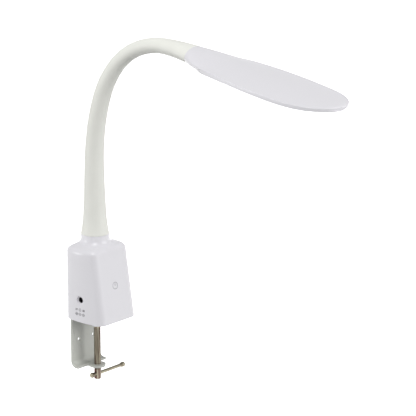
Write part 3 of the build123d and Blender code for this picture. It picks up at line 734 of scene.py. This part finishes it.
# outside, inside and the edges along both sides, then the two ends
for i in range(rows - 1):
    for j in range(per - 1):
        a = i * per + j
        faces.append((a, a + 1, a + per + 1, a + per))
        b = rows * per + a
        faces.append((b, b + per, b + per + 1, b + 1))
    for j in (0, per - 1):
        a, b = i * per + j, rows * per + i * per + j
        faces.append((a, b, b + per, a + per))
for j in range(per - 1):
    a, b = j, rows * per + j
    faces.append((a, a + 1, b + 1, b))
    a, b = (rows - 1) * per + j, (2 * rows - 1) * per + j
    faces.append((a, b, b + 1, a + 1))
top_cover = piece("head_cover", points, faces, gloss_white, 38)
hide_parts("head_top_cover")
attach(top_cover, "lamp_head")

# ------------------------------------------------------------------ clamp screw and bar

PITCH, MAJOR, DEPTH = 1.25, 4.0, 0.4
count = 40
rings = []


def screw_ring(r_at, z):
    return [
        (r_at(2 * pi * j / count) * cos(2 * pi * j / count),
         r_at(2 * pi * j / count) * sin(2 * pi * j / count), z)
        for j in range(count)
    ]


def plain(r):
    return lambda angle: r


rings.append(screw_ring(plain(3.2), -76.0))
rings.append(screw_ring(plain(3.9), -75.3))
for z in (-75.0, -73.5, -72.0, -71.0, -70.0, -69.0, -68.0, -66.5, -65.0):
    rings.append(screw_ring(plain(4.0), z))
z = -64.6
while z < -12.3:
    fade = min(1.0, (z + 64.6) / 1.2, (-12.3 - z) / 1.0)

    def thread(angle, z=z, fade=fade):
        phase = ((z / PITCH - angle / (2 * pi)) % 1.0)
        saw = abs(2 * phase - 1)
        saw = min(max((saw - 0.1) / 0.75, 0.0), 1.0)
        return MAJOR - DEPTH * fade * (1 - saw)

    rings.append(screw_ring(thread, z))
    z += PITCH / 9
rings += [
    screw_ring(plain(3.7), -11.9), screw_ring(plain(3.3), -11.35), screw_ring(plain(3.0), -11.3),
    screw_ring(plain(3.0), -8.0), screw_ring(plain(3.6), -8.0), screw_ring(plain(3.6), -7.1),
    screw_ring(plain(3.0), -7.1), screw_ring(plain(2.9), -5.7), screw_ring(plain(2.4), -5.6),
]
screw = ringed(
    "clamp_screw_threaded", rings, tarnished, "passivated_steel", 50,
    cap_start=True, cap_end=True,
)
BAR_Z = -70.0
across = Matrix([[0, 0, 1, 0], [0, 1, 0, 0], [-1, 0, 0, BAR_Z], [0, 0, 0, 1]])
cross_hole = lathe(
    "cross_hole", [(2.15, -8), (2.15, 8)], across, passivated, "passivated_steel", 40,
    cap_start=True, cap_end=True,
)
cut(screw, cross_hole)
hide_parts("clamp_screw")
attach(screw, "clamp_spindle")

BAR_LEFT, BAR_RIGHT = -8.4, 42.0
rod = lathe(
    "tommy_bar_rod",
    [(1.6, BAR_LEFT - 1.1), (2.0, BAR_LEFT - 0.8), (2.0, BAR_RIGHT + 0.8), (1.6, BAR_RIGHT + 1.1)],
    across, nickel, "nickel_steel", 32, cap_start=True, cap_end=True,
)
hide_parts("tommy_bar")
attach(rod, "cross_bar")
for label, centre, way in (("left", BAR_LEFT, -1), ("right", BAR_RIGHT, 1)):
    profile = [
        (2.03, -2.7), (2.35, -2.68), (2.7, -2.2), (3.0, -0.6), (3.1, 0.4), (3.1, 1.3),
        (2.85, 2.1), (2.3, 2.6), (1.2, 2.7), (0.05, 2.7), (0.05, 1.3), (2.03, 1.3),
    ]
    profile = [(r, centre + way * h) for r, h in profile]
    knob = lathe(
        f"bar_knob_{label}", profile, across, nickel, "nickel_steel", 40, closed_loop=True
    )
    if way > 0:
        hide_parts("bar_end_caps")
    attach(knob, "cross_bar")

# ------------------------------------------------------------------ printed marks by the socket

mark_place = Matrix(
    [[0, 0, -1, -CASE["side"]], [-1, 0, 0, SOCKET_Y], [0, 1, 0, 0], [0, 0, 0, 1]]
)
INK = (-0.5, 0.03)
UPPER_ROW, LOWER_ROW, MARK_STEP = 15.6, 10.4, 5.2
marks = []


def on_side(name, x0, x1, y0, y1):
    marks.append(
        strip(name, bar(x0, x1, y0, y1), INK, mark_place, print_grey, "gloss_white_plastic")
    )


def ring_on_side(name, r0, r1, x, y):
    marks.append(
        annulus(name, r0, r1, (x, y), INK, mark_place, print_grey, "gloss_white_plastic", 28)
    )


# upper row: direct current sign, round socket seen from its front, plug with two pins
on_side("current_line", -MARK_STEP - 1.8, -MARK_STEP + 1.8, UPPER_ROW + 0.45, UPPER_ROW + 1.0)
for i in range(3):
    x = -MARK_STEP - 1.8 + 1.35 * i
    on_side(f"current_dash_{i + 1}", x, x + 0.9, UPPER_ROW - 0.8, UPPER_ROW - 0.25)
ring_on_side("socket_sign_ring", 1.25, 1.8, 0.0, UPPER_ROW)
ring_on_side("socket_sign_pin", 0.02, 0.5, 0.0, UPPER_ROW)
on_side("plug_sign_body", MARK_STEP - 0.4, MARK_STEP + 1.8, UPPER_ROW - 1.2, UPPER_ROW + 1.2)
for i, y in enumerate((UPPER_ROW - 0.9, UPPER_ROW + 0.4)):
    on_side(f"plug_sign_pin_{i + 1}", MARK_STEP - 1.8, MARK_STEP - 0.4, y, y + 0.5)
# lower row: polarity of the plug, minus outside and plus inside
for i in range(3):
    ring_on_side(f"polarity_ring_{i + 1}", 1.3, 1.8, MARK_STEP * (i - 1), LOWER_ROW)
for i in range(2):
    x = MARK_STEP * (i - 1) + 1.8
    on_side(f"polarity_link_{i + 1}", x, x + MARK_STEP - 3.6, LOWER_ROW - 0.2, LOWER_ROW + 0.2)
ring_on_side("polarity_centre", 0.02, 0.6, 0.0, LOWER_ROW)
on_side("polarity_minus", -MARK_STEP - 0.8, -MARK_STEP + 0.8, LOWER_ROW - 0.2, LOWER_ROW + 0.2)
on_side("polarity_plus_across", MARK_STEP - 0.8, MARK_STEP + 0.8, LOWER_ROW - 0.2, LOWER_ROW + 0.2)
on_side("polarity_plus_up", MARK_STEP - 0.2, MARK_STEP + 0.2, LOWER_ROW - 0.8, LOWER_ROW + 0.8)
for mark in marks:
    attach(mark, "clamp_base")

# ------------------------------------------------------------------ floor, light and camera

floor_maker = Mat("floor", (0.92, 0.92, 0.92), 0.9, Emission_Strength=1.0)
floor_maker.p.inputs["Emission Color"].default_value = (1, 1, 1, 1)
floor_maker.mix(
    floor_maker.ramp(floor_maker.noise(0.8, 2), 0.3, 0.7), (0.92, 0.92, 0.92), (0.935, 0.935, 0.935)
)
FLOOR_Z, FAR = -0.14, 30.0
mesh = bpy.data.meshes.new("floor")
mesh.from_pydata(
    [(-FAR, -FAR, FLOOR_Z), (FAR, -FAR, FLOOR_Z), (FAR, FAR, FLOOR_Z), (-FAR, FAR, FLOOR_Z)],
    [], [(0, 1, 2, 3)],
)
mesh.materials.append(floor_maker.m)
floor = bpy.data.objects.new("floor", mesh)
bpy.context.scene.collection.objects.link(floor)
floor.visible_diffuse = False

azimuth, elevation = radians(-49.4), radians(15.6)
back = Vector(
    (sin(azimuth) * cos(elevation), -cos(azimuth) * cos(elevation), sin(elevation))
)
to_right = Vector((cos(azimuth), sin(azimuth), 0))
to_viewer = Vector((sin(azimuth), -cos(azimuth), 0))

# white backdrop round the horizon, softer light from above and below
world = bpy.data.worlds.new("studio")
bpy.context.scene.world = world
world.use_nodes = True
sky = world.node_tree
way = sky.nodes.new("ShaderNodeTexCoord")
split = sky.nodes.new("ShaderNodeSeparateXYZ")
sky.links.new(way.outputs["Generated"], split.inputs["Vector"])
height = sky.nodes.new("ShaderNodeMapRange")
sky.links.new(split.outputs["Z"], height.inputs["Value"])
height.inputs["From Min"].default_value = -1.0
level = sky.nodes.new("ShaderNodeValToRGB")
sky.links.new(height.outputs["Result"], level.inputs["Fac"])
stops = level.color_ramp.elements
for place, grey in ((0.37, 0.22), (0.46, 1.0), (0.54, 1.0), (0.65, 0.58)):
    stop = stops.new(place)
    stop.color = (grey, grey, grey, 1)
stops.remove(stops[0])
stops.remove(stops[-1])
sky.links.new(level.outputs["Color"], sky.nodes["Background"].inputs["Color"])


def soft_light(name, side, toward, height, size, power):
    """Round softbox placed by the viewer's right, toward the viewer, and up."""
    data = bpy.data.lights.new(name, "AREA")
    data.shape, data.size, data.energy = "DISK", size, power
    lamp = bpy.data.objects.new(name, data)
    lamp.location = to_right * side + to_viewer * toward + Vector((0, 0, height))
    lamp.rotation_mode = "QUATERNION"
    aim = Vector((0, -0.08, 0.15)) - lamp.location
    lamp.rotation_quaternion = aim.to_track_quat("-Z", "Y")
    bpy.context.scene.collection.objects.link(lamp)


soft_light("top", 0.0, 0.3, 1.9, 1.0, 4.0)
soft_light("front_high", 0.1, 1.1, 1.7, 0.6, 10.5)
soft_light("left", -1.7, 0.3, 0.4, 0.8, 7.5)
soft_light("right", 1.6, 0.4, 0.4, 0.8, 7.5)

aim = Vector((0.1084, -0.0752, 0.1193))
camera_data = bpy.data.cameras.new("camera")
camera_data.lens, camera_data.sensor_width = 225.0, 36.0
camera_data.clip_start, camera_data.clip_end = 0.05, 100.0
camera = bpy.data.objects.new("camera", camera_data)
camera.location = aim + back * 2.99
camera.rotation_mode = "QUATERNION"
camera.rotation_quaternion = (-back).to_track_quat("-Z", "Y")
bpy.context.scene.collection.objects.link(camera)
bpy.context.scene.camera = camera
bpy.context.scene.view_settings.view_transform = "Standard"
